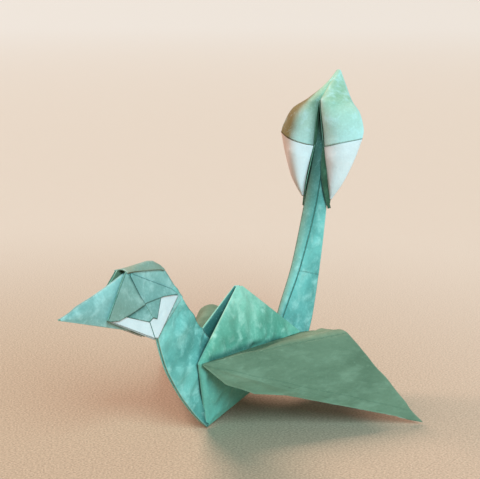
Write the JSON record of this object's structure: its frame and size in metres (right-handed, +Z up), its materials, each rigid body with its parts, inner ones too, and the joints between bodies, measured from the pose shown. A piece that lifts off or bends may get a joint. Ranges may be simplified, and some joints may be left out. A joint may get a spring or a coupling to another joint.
{
  "type": "origami crane",
  "caption": "Paper crane folded from a square sheet, with bent wings, a long neck with a layered head, and a long tail that ends in a hooded bud.",
  "frame": {"origin": "on the table, below the middle of the whole crane's length and width", "axes": "+X from beak to tail, +Z up, and Y across the wings; the folds are alike on both sides of the plane Y = 0"},
  "size_m": [0.125, 0.0954, 0.0966],
  "materials": {
    "dyed_paper": "matte"
  },
  "bodies": {
    "root": {"folded_crane": "dyed_paper"}
  },
  "joints": []
}
